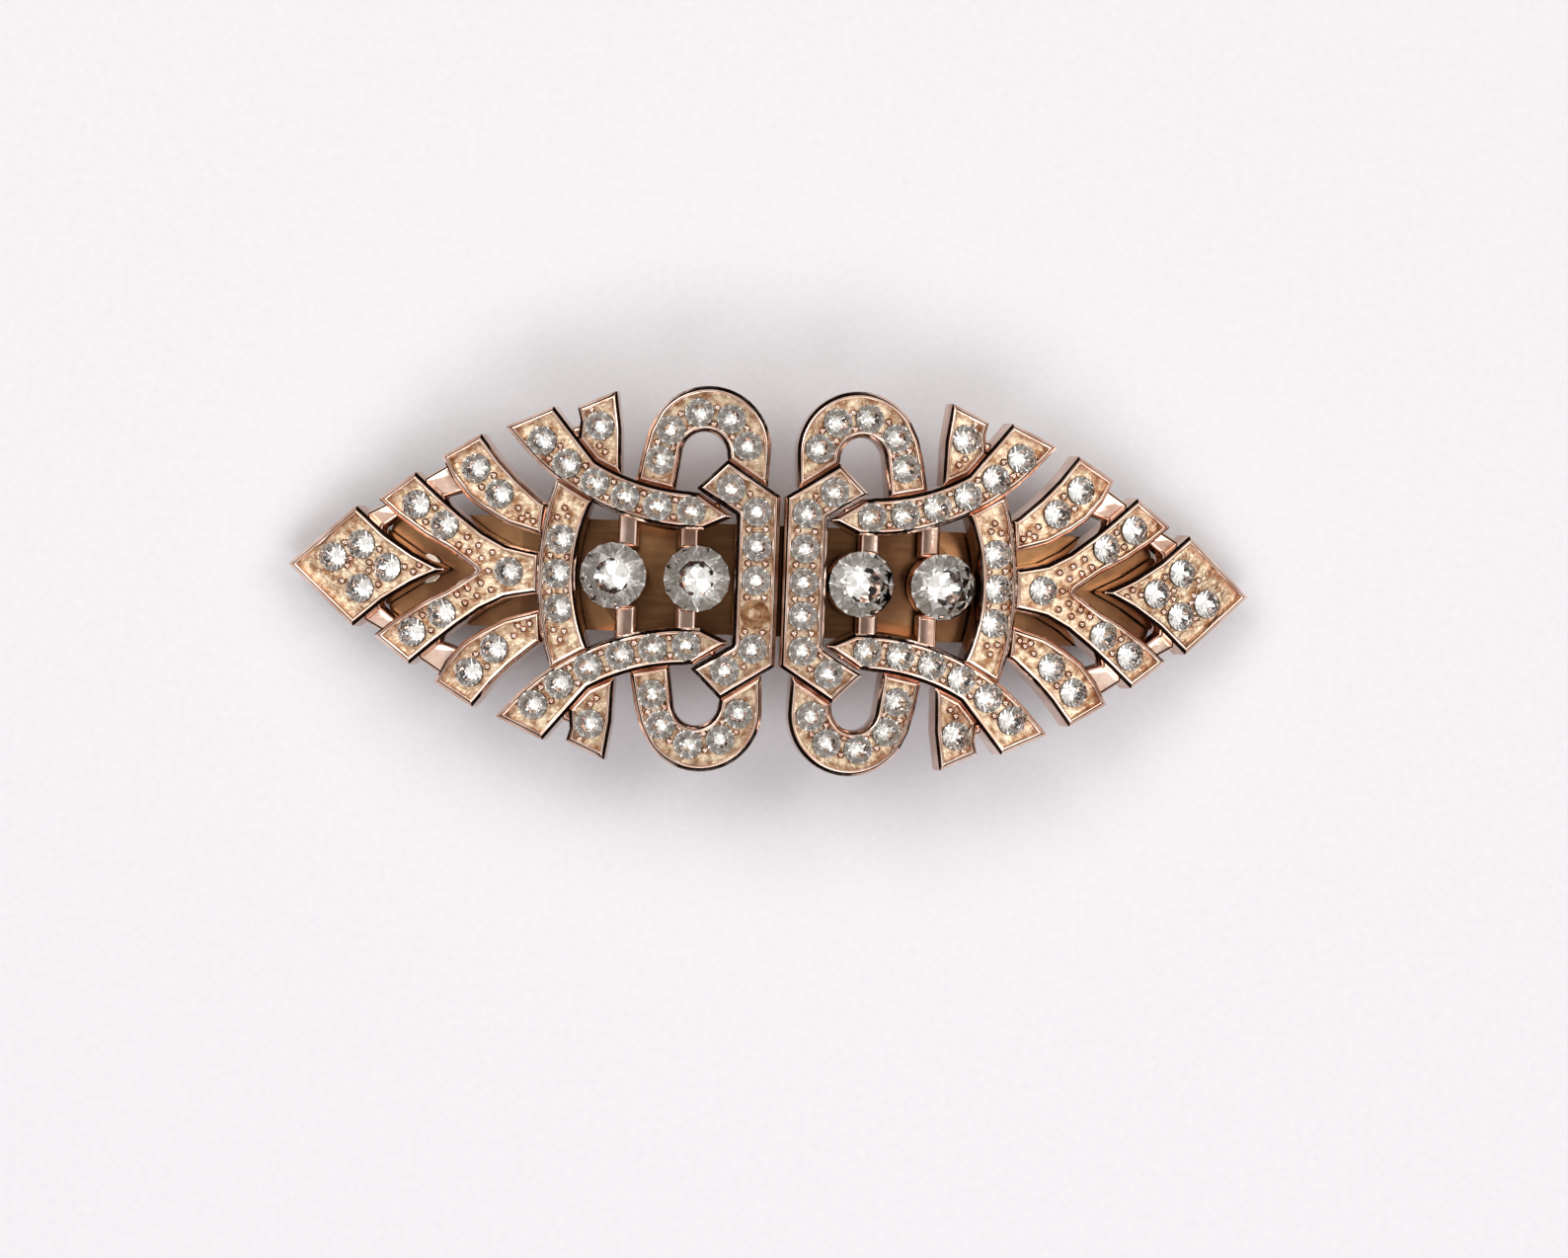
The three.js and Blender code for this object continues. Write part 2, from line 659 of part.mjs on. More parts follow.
function hingePin() {
  const end = PLATE_HALF_WIDTH + RUNNING_CLEARANCE + PIN_HEAD_LENGTH;
  const shoulder = end - PIN_HEAD_LENGTH;
  const profile = [point(0, -end), point(PIN_HEAD_RADIUS, -end), point(PIN_HEAD_RADIUS, -shoulder),
    point(PIN_RADIUS, -shoulder), point(PIN_RADIUS, shoulder), point(PIN_HEAD_RADIUS, shoulder),
    point(PIN_HEAD_RADIUS, end), point(0, end)];
  return turnedAlongY(profile, PIN_SIDES).translate([PIN_X, 0, PIN_Z]);
}

const armTop = PIN_Z + ARM_THICKNESS / 2;
const armUnder = PIN_Z - ARM_THICKNESS / 2;

// The arm: an eye rolled round the pin, a flat strip and a window frame for the catch.
function claspArm() {
  const eyeHalf = PLATE_HALF_WIDTH - EAR_THICKNESS - SIDE_CLEARANCE;
  const stripOutline = rectangle(frameEnd + 1, PIN_X, -ARM_HALF_WIDTH, ARM_HALF_WIDTH);
  const strip = prism(stripOutline, armUnder, armTop);
  const frameMiddle = frameEnd + FRAME_LENGTH / 2;
  const frameOutline = roundedRectangle(FRAME_LENGTH / 2, FRAME_HALF_WIDTH, 1)
    .map((corner) => point(corner.x + frameMiddle, corner.y));
  const frame = prism(frameOutline, armUnder, armTop);
  const eye = sidePrism(ring(point(PIN_X, PIN_Z), EYE_RADIUS, 20), -eyeHalf, eyeHalf);
  const boreRing = ring(point(PIN_X, PIN_Z), PIN_RADIUS + RUNNING_CLEARANCE, PIN_SIDES);
  const bore = sidePrism(boreRing, -eyeHalf - 1, eyeHalf + 1);
  const window = prism(
    rectangle(windowEnd, windowEnd + WINDOW_LENGTH, -WINDOW_HALF_WIDTH, WINDOW_HALF_WIDTH),
    armUnder - 1,
    armTop + 1,
  );
  return joined([strip, frame, eye]).subtract(joined([bore, window]));
}

// The catch base lies under the plate, flat.
const catchTop = plateUnder - SOLDER_GAP;
const catchUnder = catchTop - CATCH_THICKNESS;

function catchBase() {
  const outline = rectangle(
    catchAt - CATCH_HALF_LENGTH,
    catchAt + CATCH_HALF_LENGTH,
    -CATCH_HALF_WIDTH,
    CATCH_HALF_WIDTH,
  );
  const hole = ring(point(catchAt, 0), RIVET_RADIUS + RIVET_CLEARANCE, RIVET_SIDES);
  return prism(outline, catchUnder, catchTop, [hole]);
}

function catchRivet() {
  const low = catchUnder - RUNNING_CLEARANCE;
  const high = plateTop + RUNNING_CLEARANCE;
  const centre = point(catchAt, 0);
  return joined([
    prism(ring(centre, RIVET_RADIUS, RIVET_SIDES), low - 0.1, high + 0.1),
    prism(ring(centre, RIVET_HEAD_RADIUS, RIVET_SIDES), low - RIVET_HEAD, low),
    prism(ring(centre, RIVET_HEAD_RADIUS, RIVET_SIDES), high, high + RIVET_HEAD),
  ]);
}

// One spring leg with its barb, on the +Y side.
function catchLeg() {
  const low = catchX - LEG_LENGTH / 2;
  const high = catchX + LEG_LENGTH / 2;
  const base = (x) => plateUnderZ(x) - SOLDER_GAP - CATCH_THICKNESS - 2 * SOLDER_GAP;
  const profile = [point(low, LEG_FOOT_Z), point(high, LEG_FOOT_Z), point(high, base(high)),
    point(low, base(low))];
  const leg = sidePrism(profile, LEG_INNER_Y, LEG_INNER_Y + LEG_THICKNESS);
  const outer = LEG_INNER_Y + LEG_THICKNESS;
  const tip = WINDOW_HALF_WIDTH + BARB_HOLD;
  const barbTop = armUnder - BARB_GAP;
  const root = outer - BARB_BITE;
  const foot = LEG_FOOT_Z + BARB_BITE / 2;
  const barbShape = [point(root, foot), point(outer, foot), point(tip, barbTop - BARB_LIP),
    point(tip, barbTop), point(root, barbTop)];
  const barb = new THREE.ExtrudeGeometry(new THREE.Shape(barbShape), {
    depth: LEG_LENGTH,
    bevelEnabled: false,
  });
  barb.rotateX(Math.PI / 2);
  barb.rotateZ(Math.PI / 2);
  barb.translate(low, 0, 0);
  return leg.add(solidOf(barb));
}

function tensionBar() {
  const steps = 18;
  const xs = Array.from({ length: steps + 1 }, (_, i) => BAR_HALF_LENGTH * ((2 * i) / steps - 1));
  const top = xs.map((x) => point(x, barTopZ(x)));
  const under = xs.map((x) => point(x, barTopZ(x) - BAR_THICKNESS)).reverse();
  const curve = sidePrism([...top, ...under], -BAR_HALF_WIDTH, BAR_HALF_WIDTH);
  const body = roundedRectangle(BAR_BODY_HALF_LENGTH, BAR_HALF_WIDTH, BAR_CORNER);
  const tongues = rectangle(-BAR_HALF_LENGTH, BAR_HALF_LENGTH, -TONGUE_HALF_WIDTH, TONGUE_HALF_WIDTH);
  return curve.intersect(prism(body, 0, UNDERSIDE_Z).add(prism(tongues, 0, UNDERSIDE_Z)));
}

// ---------- Assembly ----------

const group = new THREE.Group();

function addPiece(name, geometry, finish) {
  const mesh = new THREE.Mesh(geometry, new THREE.MeshStandardMaterial(finish));
  mesh.name = name;
  group.add(mesh);
  return mesh;
}

// The same casting is used for both halves; the left one is turned half round.
function addHalf(side, turn) {
  const channels = channelList();
  const swapped = { top: 'bottom', bottom: 'top' };
  const sideName = (name) =>
    (turn ? name.replace(/top|bottom/, (end) => swapped[end]) : name);
  const pieces = [addPiece(`casting_${side}`, bentGeometry(castingSolid(channels)), roseGold)];
  for (const channel of channels) {
    const empty = turn && channel.name === 'bracket';
    const seats = empty ? channel.seats.filter((_, i) => i !== EMPTY_SEAT) : channel.seats;
    const row = stoneRow({ ...channel, seats });
    pieces.push(addPiece(`stones_${sideName(channel.name)}_${side}`, bentGeometry(row), crystal));
  }
  const largeNames = ['inner', 'outer'];
  LARGE_STONES_AT.forEach((at, i) => {
    const name = `large_stone_${largeNames[i]}_${side}`;
    pieces.push(addPiece(name, bentGeometry(largeStone(at)), crystal));
  });
  const pads = { inner: INNER_SOLDER, outer: OUTER_SOLDER };
  for (const [name, pad] of Object.entries(pads)) {
    pieces.push(addPiece(`solder_${name}_${side}`, bentGeometry(solderPad(pad)), solder));
  }
  for (const piece of pieces) {
    piece.rotation.z = turn;
  }
}

addHalf('right', 0);
addHalf('left', Math.PI);

addPiece('base_plate', straightGeometry(basePlate()), steel);
addPiece('hinge_pin', straightGeometry(hingePin()), steel);
addPiece('clasp_arm', straightGeometry(claspArm()), steel);
addPiece('tension_bar', straightGeometry(tensionBar()), steel);
addPiece('catch_base', bentGeometry(catchBase()), steel);
addPiece('catch_rivet', bentGeometry(catchRivet()), steel);
addPiece('catch_leg_back', straightGeometry(catchLeg()), steel);
addPiece('catch_leg_front', straightGeometry(catchLeg().mirror([0, 1, 0])), steel);

export default group;
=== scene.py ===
# Rhinestone hair clip: two plated castings set with glass stones, on a barrette back with a spring
# clasp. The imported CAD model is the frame: every piece is made in its coordinates, in metres.
import math
import random

import bmesh
import bpy
from mathutils import Matrix, Vector, geometry


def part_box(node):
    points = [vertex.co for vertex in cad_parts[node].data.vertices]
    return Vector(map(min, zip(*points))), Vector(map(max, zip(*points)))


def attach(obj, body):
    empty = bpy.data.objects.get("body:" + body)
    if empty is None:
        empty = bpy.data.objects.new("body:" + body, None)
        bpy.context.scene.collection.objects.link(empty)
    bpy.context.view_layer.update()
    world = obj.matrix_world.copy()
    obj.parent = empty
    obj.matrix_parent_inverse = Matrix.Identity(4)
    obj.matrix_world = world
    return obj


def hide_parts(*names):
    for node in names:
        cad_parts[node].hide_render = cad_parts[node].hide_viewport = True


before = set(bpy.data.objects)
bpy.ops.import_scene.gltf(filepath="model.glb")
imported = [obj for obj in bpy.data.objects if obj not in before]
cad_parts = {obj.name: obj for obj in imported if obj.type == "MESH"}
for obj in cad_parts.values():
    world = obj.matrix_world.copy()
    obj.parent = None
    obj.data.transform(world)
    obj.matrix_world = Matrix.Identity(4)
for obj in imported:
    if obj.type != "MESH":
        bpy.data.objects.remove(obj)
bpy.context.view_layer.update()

# ---------- Base plate ----------
# The back of the barrette: a strip of mild steel, blanked, pierced and bent to the doming, with its
# ears and end tab folded down. It is barrel plated with a thin brassy coat.

MM = 0.001


def linear(code):
    """An sRGB hex colour as linear red, green, blue and alpha."""
    values = [int(code[i : i + 2], 16) / 255 for i in (1, 3, 5)]
    return [v / 12.92 if v <= 0.04045 else ((v + 0.055) / 1.055) ** 2.4 for v in values] + [1.0]


def add_node(tree, kind, settings, inputs):
    """Adds a node, sets its own settings, and gives each named input a value or a link."""
    node = tree.nodes.new(kind)
    for name, value in settings.items():
        setattr(node, name, value)
    for name, value in inputs.items():
        if isinstance(value, bpy.types.NodeSocket):
            tree.links.new(value, node.inputs[name])
        else:
            node.inputs[name].default_value = value
    return node


def new_material(name):
    """An empty node material, and its tree."""
    material = bpy.data.materials.new(name)
    material.use_nodes = True
    material.node_tree.nodes.clear()
    return material, material.node_tree


DRIFT_STOPS = (0.35, 0.65)


def metal(name, shades, patch, grain, gloss, relief):
    """A metal whose colour drifts over patches and whose grain, sized along X, Y and Z, varies its
    roughness and height. Sizes are in millimetres."""
    material, tree = new_material(name)
    place = add_node(tree, "ShaderNodeTexCoord", {}, {}).outputs["Object"]
    drift = add_node(
        tree,
        "ShaderNodeTexNoise",
        {},
        {"Vector": place, "Scale": 1 / (patch * MM), "Detail": 3.0},
    )
    tint = add_node(tree, "ShaderNodeValToRGB", {}, {"Fac": drift.outputs["Fac"]})
    for stop, position, shade in zip(tint.color_ramp.elements, DRIFT_STOPS, shades):
        stop.position = position
        stop.color = linear(shade)
    stretched = add_node(
        tree,
        "ShaderNodeMapping",
        {},
        {"Vector": place, "Scale": [1 / (size * MM) for size in grain]},
    )
    marks = add_node(
        tree,
        "ShaderNodeTexNoise",
        {},
        {"Vector": stretched.outputs["Vector"], "Scale": 1.0, "Detail": 4.0},
    )
    rough = add_node(
        tree,
        "ShaderNodeMapRange",
        {},
        {
            "Value": marks.outputs["Fac"],
            "From Min": 0.3,
            "From Max": 0.7,
            "To Min": gloss[0],
            "To Max": gloss[1],
        },
    )
    bump = add_node(
        tree,
        "ShaderNodeBump",
        {},
        {"Height": marks.outputs["Fac"], "Distance": relief * MM, "Strength": 1.0},
    )
    shader = add_node(
        tree,
        "ShaderNodeBsdfPrincipled",
        {},
        {
            "Base Color": tint.outputs["Color"],
            "Metallic": 1.0,
            "Roughness": rough.outputs["Result"],
            "Normal": bump.outputs["Normal"],
        },
    )
    add_node(tree, "ShaderNodeOutputMaterial", {}, {"Surface": shader.outputs["BSDF"]})
    return material


# Points nearer than this are one point, and edges that turn less than this stay as they are
SAME_POINT = 0.001
LEAST_TURN = math.radians(35)


def finish_node(node, material, edge):
    """Gives a CAD node its material, and rounds its edges as tumbling and plating leave them."""
    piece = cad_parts[node]
    for holder in piece.material_slots:
        holder.material = material
    weld = piece.modifiers.new("one_skin", "WELD")
    weld.merge_threshold = SAME_POINT * MM
    bevel = piece.modifiers.new("soft_edges", "BEVEL")
    bevel.width = edge * MM
    bevel.segments = 2
    bevel.limit_method = "ANGLE"
    bevel.angle_limit = LEAST_TURN


# Brass plating on rolled steel: a warm, slightly cloudy shine with faint rolling lines along X
brassed_steel = metal(
    "brass_plated_steel", ("#5E3F2B", "#8C6746"), 6, (5, 0.4, 0.4), (0.16, 0.28), 0.0008
)
finish_node("base_plate", brassed_steel, 0.08)

# ---------- Hinge pin and arm ----------
# The pin is a headed steel rivet through both ears. The arm is stamped from the same steel as the
# plate and rolled round the pin, and its far end is a window that the catch snaps into.

# Drawn steel: greyer and brighter, with fine lines along the wire
drawn_steel = metal("drawn_steel", ("#A9A297", "#CFC8BC"), 3, (0.2, 2, 0.2), (0.16, 0.28), 0.0005)
finish_node("hinge_pin", drawn_steel, 0.1)
finish_node("clasp_arm", brassed_steel, 0.1)

# ---------- Tension bar ----------
# A bowed strip of spring steel, blanked and then tempered. Its tongues are held in two staples
# under the plate, and it presses the hair on the arm.

# Tempered strip: satin, straw coloured, with rolling lines along the bar
tempered_strip = metal(
    "tempered_strip", ("#9C8A6C", "#C2AE8A"), 7, (6, 0.3, 0.3), (0.24, 0.38), 0.0008
)
finish_node("tension_bar", tempered_strip, 0.06)

# ---------- Catch ----------
# A spring clip of the same plated steel, folded up from one blank and riveted under the plate.
# Its two legs carry barbs that hold the window of the arm.

for node in ("catch_base", "catch_leg_back", "catch_leg_front"):
    finish_node(node, brassed_steel, 0.05)
finish_node("catch_rivet", drawn_steel, 0.08)

# ---------- Solder joints ----------
# Pads of soft solder, run between each casting and the plate with an iron. They are what holds the
# castings on.

# Tin solder: matt grey with soft lumps
soft_solder = metal("soft_solder", ("#7C7870", "#A39E94"), 1.5, (0.5, 0.5, 0.5), (0.38, 0.55), 0.03)
for side in ("right", "left"):
    for place in ("inner", "outer"):
        finish_node(f"solder_{place}_{side}", soft_solder, 0.06)

# ---------- Castings ----------
# Two zinc castings of the same pattern, one turned half round. Walled channels, open cups and thin
# necks are cast in one; the rims are polished and the whole is plated with rose gold.

# Rose gold plate over polished zinc: a pale pinkish mirror, gently rippled, duller in patches
rose_gold = metal(
    "rose_gold_plate", ("#C29C88", "#EACFC0"), 2.5, (0.9, 0.9, 0.9), (0.05, 0.14), 0.012
)
# The same plate over floors left as cast: creamy satin with grains about 0.3 mm across
# Its darker patches, about 0.7 mm across and strewn at random, are painted shade for the dark pits
# around the stones
satin_gold_and_painted_shade = metal(
    "satin_rose_gold_plate_and_painted_shade", ("#9C7253", "#F1DCBF"), 0.7, (0.3, 0.3, 0.3), (0.22, 0.45), 0.09
)
FLOOR_SLOT = 1

# The doming: plan sizes are (along, across, height) in mm, true at PLAN_HEIGHT. Rims come in three
# heights, so that a channel stands over the ends of the lower ones.
BEND_RADIUS = 100
PLAN_HEIGHT = 2.2
HIGH_RIM = 3.0
MIDDLE_RIM = 2.7
LOW_RIM = 2.3
UNDERSIDE_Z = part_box("casting_right")[1].z / MM - HIGH_RIM


def domed(along, across, height):
    """Where a plan point lies on the domed clip, in metres."""
    angle = along / (BEND_RADIUS + PLAN_HEIGHT)
    radius = BEND_RADIUS + height
    rise = radius * math.cos(angle) - BEND_RADIUS + UNDERSIDE_Z
    return Vector((radius * math.sin(angle), across, rise)) * MM


def arc(centre, radius, start, end, steps):
    """Points on a circle, at equal angles measured from straight down towards +X."""
    angles = [math.radians(start + (end - start) * i / steps) for i in range(steps + 1)]
    x, y = centre
    return [(x + radius * math.sin(a), y - radius * math.cos(a)) for a in angles]


def mirrored(points):
    """The points on the other side of the clip's long axis, in the opposite order."""
    return [(x, -y) for x, y in reversed(points)]


# Bracket: a bar along the seam whose ends turn outward
bracket_end = [(3.85, 5.4), (7.29, 7.52), (4.69, 10.07), (0.15, 7.15)]
bracket = bracket_end + mirrored(bracket_end)
bracket_seats = [(2, 0), (2, 2.82), (2, -2.82)]
bracket_seats += [(2.1, 5.74), (4.35, 7.6), (2.1, -5.74), (4.35, -7.6)]

# Arc: a long curved channel, pointed at the bracket
ARC_CENTRE = (7.2, 24.2)
arc_channel = [(3.95, 5.25)] + arc(ARC_CENTRE, 20.15, -2, 47, 24) + [(23.5, 12.15), (19.35, 14)]
arc_channel += arc(ARC_CENTRE, 16.9, 30, 2, 16) + [(6.9, 7.15)]
arc_seats = arc(ARC_CENTRE, 18.575, 1.3, 44.9, 5)

# Band: an upright channel that bows outward between the two arcs
band = arc((-3.55, 0), 23.9, 70.2, 109.8, 16) + arc((1.95, 0), 15.1, 114.5, 65.5, 14)
band_seats = [(18.68, 0), (18.45, 2.91), (18.45, -2.91)]

# Loop: a horseshoe whose legs end under the bracket and the arc
loop = [(1.2, 7.65)] + arc((6.3, 10.9), 5.25, 270, 125, 26)
loop += [(11.4, 12.3), (11.9, 10.4), (12.35, 7.9), (8.95, 7.2)]
loop += arc((6.65, 10.4), 1.85, 90, 270, 14) + [(4.72, 9.9)]
loop_seats = [(10.35, 9.8), (9.55, 12.3), (7.2, 13.85), (4.5, 13.4), (3.05, 11.2)]

# Tip: a small wedge behind the arc
tip = [(13.5, 8.35), (15.75, 9.4), (17.35, 11.25), (17.2, 12.9), (17.5, 14), (14.1, 15.5)]
tip += [(13.6, 12.2)]
tip_seats = [(15.55, 12.45)]

# Blade: a short curved channel between the arc and the chevron
blade = [(19.9, 3), (23, 3.85), (25, 4.9), (26.5, 5.95), (27.9, 7.5), (28.95, 9.5), (25.5, 11.5)]
blade += [(23.7, 9.3), (22.2, 7.8), (20.3, 6.2), (19.7, 5.8)]
blade_seats = [(25.95, 8.55), (23.88, 6.48)]

# Chevron: two arms that meet in a point
chevron_arm = [(28, 1.6), (30, 2.6), (32.5, 4.2), (34.4, 5.75), (31.1, 8.15), (29, 6.35)]
chevron_arm += [(27, 4.75), (25, 3.3), (23, 2.3), (20.1, 1.75)]
chevron = [(25.6, 0)] + chevron_arm + mirrored(chevron_arm)
chevron_seats = [(22.85, 0), (28.5, 3.72), (31.05, 5.35), (28.5, -3.72), (31.05, -5.35)]

# Diamond: the kite-shaped end of the clip
diamond_side = [(36.2, 5.15), (33.5, 2.9), (31, 1.35)]
diamond = [(42.3, 0)] + diamond_side + [(28.1, 0)] + mirrored(diamond_side)
diamond_seats = [(33.4, 0), (35.79, 1.85), (35.79, -1.85), (38.3, -0.7)]

# Grains raised from the channel floors to hold the stones where two of them don't already meet
chevron_grains = [(24.3, 1.55), (25.2, 1.05), (25.5, 2.1), (26.3, 1.55), (26.5, 2.75), (27.2, 2.1)]
grains = {
    "diamond": [(31.1, 0.3), (30.6, -0.3), (31.9, -0.1), (34.6, 0.1), (37, 0)]
    + [(37.2, -1.95), (37.4, 1.3)],
    "chevron": chevron_grains + mirrored(chevron_grains) + [(24.6, 0)],
    "blade": [(22.2, 5.35), (21.4, 4.75), (20.9, 4.3), (21.9, 4.5), (24.4, 8)],
    "loop": [],
    "tip": [(15, 10.3), (15.5, 10.8), (16.3, 13.8)],
    "arc": [(5.5, 6.05)],
    "band": [(17.9, 4.8), (18.8, 4.7), (18.2, 5.5), (17.9, -4.8), (18.8, -4.7), (18.2, -5.5)],
    "bracket": [],
}


def two_sided(name, outline, rim, seats):
    """A channel and its mirror image across the clip's long axis."""
    upper = (f"{name}_top", outline, rim, seats, grains[name])
    lower = (f"{name}_bottom", mirrored(outline), rim, mirrored(seats), mirrored(grains[name]))
    return [upper, lower]


# In casting order: a later channel stands over the ends of those before it
channels = [
    ("diamond", diamond, LOW_RIM, diamond_seats, grains["diamond"]),
    ("chevron", chevron, LOW_RIM, chevron_seats, grains["chevron"]),
    *two_sided("blade", blade, LOW_RIM, blade_seats),
    *two_sided("loop", loop, LOW_RIM, loop_seats),
    *two_sided("tip", tip, LOW_RIM, tip_seats),
    ("band", band, MIDDLE_RIM, band_seats, grains["band"]),
    *two_sided("arc", arc_channel, MIDDLE_RIM, arc_seats),
    ("bracket", bracket, HIGH_RIM, bracket_seats, grains["bracket"]),
]

# Corners that turn more than SHARP_TURN are rounded, as far as MOST_REACH of the shorter side
CORNER_RADIUS = 0.18
LEAST_RADIUS = 0.05
MOST_REACH = 0.4
SHARP_TURN = math.radians(20)
CORNER_STEPS = 4
LONGEST_EDGE = 1.2


def counterclockwise(points):
    """The points in counterclockwise order."""
    area = sum(a[0] * b[1] - b[0] * a[1] for a, b in zip(points, points[1:] + points[:1]))
    return points if area > 0 else points[::-1]


def softened(outline, inset):
    """The outline moved inward, its corners rounded and its long sides split. Every inset of one
    outline gives the same number of points."""
    base = [Vector(p) for p in counterclockwise(outline)]
    count = len(base)
    along = [base[(i + 1) % count] - base[i] for i in range(count)]
    way = [side.normalized() for side in along]
    moved = []
    for i in range(count):
        normal = Vector((-way[i - 1].y - way[i].y, way[i - 1].x + way[i].x))
        moved.append(base[i] + normal * (2 * inset / normal.length_squared))
    groups = []
    for i in range(count):
        before, after = way[i - 1], way[i]
        turn = math.atan2(before.cross(after), before.dot(after))
        if abs(turn) < SHARP_TURN:
            groups.append([moved[i]])
            continue
        radius = max(CORNER_RADIUS - math.copysign(inset, turn), LEAST_RADIUS)
        room = min((moved[i] - moved[i - 1]).length, (moved[(i + 1) % count] - moved[i]).length)
        reach = min(radius * math.tan(abs(turn) / 2), MOST_REACH * room)
        start, end = moved[i] - before * reach, moved[i] + after * reach
        rounded = []
        for step in range(CORNER_STEPS + 1):
            t = step / CORNER_STEPS
            rounded.append(start * (1 - t) ** 2 + moved[i] * (2 * t * (1 - t)) + end * t**2)
        groups.append(rounded)
    points = []
    for i, group in enumerate(groups):
        points += group
        splits = math.ceil(along[i].length / LONGEST_EDGE)
        start, end = group[-1], groups[(i + 1) % count][0]
        points += [start.lerp(end, k / splits) for k in range(1, splits)]
    return points


def cap(mesh, loop, slot):
    """Closes a flat loop of vertices with triangles of one material slot."""
    for corners in geometry.tessellate_polygon([[vertex.co for vertex in loop]]):
        face = [loop[i] for i in corners]
        if mesh.faces.get(face) is None:
            mesh.faces.new(face).material_index = slot


def moulded(mesh, outline, steps, top_slot=0):
    """Adds a closed body whose outline passes through each (inset, height) in turn. Its last loop
    is closed by faces of the top slot."""
    loops = []
    for inset, height in steps:
        loops.append([mesh.verts.new((p.x, p.y, height)) for p in softened(outline, inset)])
    for low, high in zip(loops, loops[1:]):
        for i in range(len(low)):
            mesh.faces.new((low[i - 1], low[i], high[i], high[i - 1]))
    cap(mesh, loops[0], 0)
    cap(mesh, loops[-1], top_slot)


def turned(mesh, centre, profile, sides, closed=False):
    """Adds a body turned from (radius, height) pairs, and gives its faces. A closed profile makes
    a ring."""
    x, y = centre
    angles = [2 * math.pi * k / sides for k in range(sides)]
    rows = []
    for radius, height in profile:
        if radius == 0:
            rows.append([mesh.verts.new((*centre, height))] * sides)
            continue
        points = [(x + radius * math.cos(a), y + radius * math.sin(a), height) for a in angles]
        rows.append([mesh.verts.new(point) for point in points])
    pairs = list(zip(rows, rows[1:])) + ([(rows[-1], rows[0])] if closed else [])
    faces = []
    for low, high in pairs:
        for i in range(sides):
            corners = [low[i - 1], low[i], high[i], high[i - 1]]
            corners = [c for k, c in enumerate(corners) if c not in corners[:k]]
            faces.append(mesh.faces.new(corners))
    return faces


def scratch_object(name, mesh):
    """A working object made of a mesh, with the two platings in their slots."""
    bmesh.ops.recalc_face_normals(mesh, faces=mesh.faces)
    data = bpy.data.meshes.new(name)
    mesh.to_mesh(data)
    mesh.free()
    for finish in (rose_gold, satin_gold_and_painted_shade):
        data.materials.append(finish)
    body = bpy.data.objects.new(name, data)
    bpy.context.scene.collection.objects.link(body)
    return body


def cut(body, cutter):
    """Cuts the cutter out of the body, and removes the cutter."""
    tool = body.modifiers.new("cut", "BOOLEAN")
    tool.operation = "DIFFERENCE"
    tool.solver = "EXACT"
    tool.object = cutter
    graph = bpy.context.evaluated_depsgraph_get()
    result = bpy.data.meshes.new_from_object(body.evaluated_get(graph))
    body.modifiers.clear()
    body.data = result
    bpy.data.objects.remove(cutter)


# Rims: a plain side up to SIDE_DROP below the top, a polished bevel, a thin crest, and a steep
# inner side down to the floor
WALL = 0.64
SIDE_DROP = 1
FLOOR_DROP = 0.72
rim_profile = [(0.02, -0.6), (0.06, -0.3), (0.16, -0.205), (0.25, -0.12), (0.33, -0.05)]
rim_profile += [(0.41, -0.005), (0.47, 0), (0.53, -0.02), (0.58, -0.1), (0.61, -0.28)]
rim_profile += [(WALL, -FLOOR_DROP)]

# Seats are drilled after casting, a little wider than the stones, with a conical bottom
SEAT_RADIUS = 1.23
SEAT_TIP_RADIUS = 0.5
SEAT_SHOULDER = 0.9
SEAT_DEPTH = 1.65
SEAT_SIDES = 20

# A channel reaches a little way into those that stand over it, and cutters stand out by CUT_SPARE
ROOM_INSET = 0.06
CUT_SPARE = 1

# Grains are short posts with round tops, in pairs between stones nearer than NEIGHBOUR_GAP
NEIGHBOUR_GAP = 3.45
GRAIN_ASIDE = 0.72
GRAIN_RADIUS = 0.34
GRAIN_RISE = 0.12
GRAIN_SINK = 0.2
GRAIN_SIDES = 10
GRAIN_RINGS = (0, 0.4, 0.8, 1.2)


def grain_places(seats, extra):
    """Grains as listed, and one on each side of every pair of neighbouring stones."""
    places = list(extra)
    for i, a in enumerate(seats):
        for b in seats[i + 1 :]:
            gap = Vector(b) - Vector(a)
            if gap.length < NEIGHBOUR_GAP:
                middle = (Vector(a) + Vector(b)) / 2
                aside = Vector((-gap.y, gap.x)).normalized() * GRAIN_ASIDE
                places += [tuple(middle + aside), tuple(middle - aside)]
    return places


